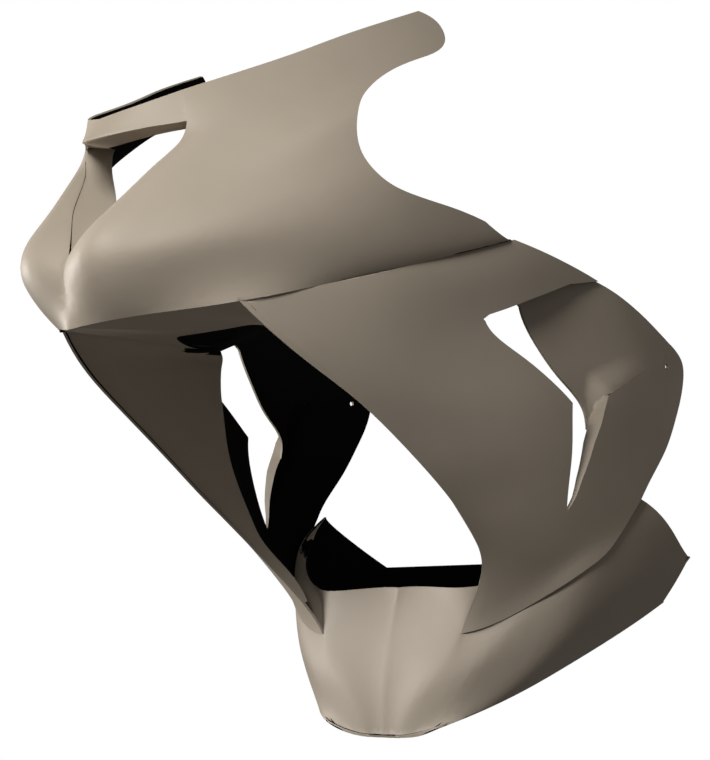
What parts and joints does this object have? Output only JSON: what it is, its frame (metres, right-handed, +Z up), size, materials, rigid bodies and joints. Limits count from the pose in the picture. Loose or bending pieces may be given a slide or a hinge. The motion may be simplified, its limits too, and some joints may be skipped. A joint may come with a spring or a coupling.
{
  "type": "motorcycle fairing",
  "caption": "Race fairing of a sport motorcycle: nose with a duct opening, side panels with vents, and a belly pan lapped under them.",
  "frame": {"origin": "centre of the fairing's bounding box, on the centre plane between its mirrored halves", "axes": "+Z up, -Y forward, +X to the rider's left"},
  "size_m": [0.5114, 0.6901, 0.7851],
  "materials": {
    "gelcoat": "matt taupe primer gelcoat outside, bare black laminate inside"
  },
  "bodies": {
    "root": {"nose_cowl": "gelcoat", "left_side_panel": "gelcoat", "right_side_panel": "gelcoat", "left_panel_end": "gelcoat", "right_panel_end": "gelcoat", "belly_pan": "gelcoat"}
  },
  "joints": []
}
